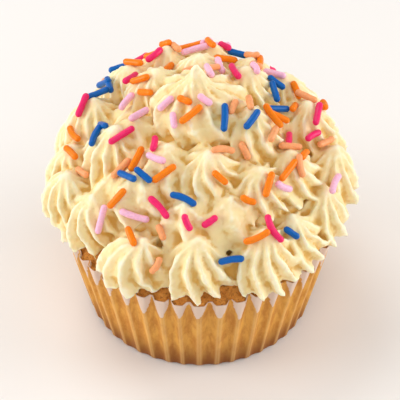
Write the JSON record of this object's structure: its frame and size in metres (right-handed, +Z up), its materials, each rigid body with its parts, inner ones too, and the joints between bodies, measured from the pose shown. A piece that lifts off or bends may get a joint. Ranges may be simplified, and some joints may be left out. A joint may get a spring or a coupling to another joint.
{
  "type": "frosted cupcake in a paper case",
  "caption": "Vanilla cupcake in a pleated paper baking case, topped with a dome of piped buttercream stars and scattered sugar sprinkles.",
  "frame": {"origin": "centre of the flat base of the paper case, on the surface it stands on", "axes": "+Z up, -Y to the front, where the crust shows under the buttercream, +X to the right"},
  "size_m": [0.077, 0.0793, 0.0692],
  "materials": {
    "baking_paper": "pleated greaseproof paper, browned and translucent with fat, dry and pale near the rim",
    "sponge": "golden-brown baked crumb",
    "buttercream": "smooth pale cream with a soft sheen"
  },
  "bodies": {
    "root": {"paper_case": "baking_paper", "cake": "sponge", "buttercream": "buttercream"}
  },
  "joints": []
}
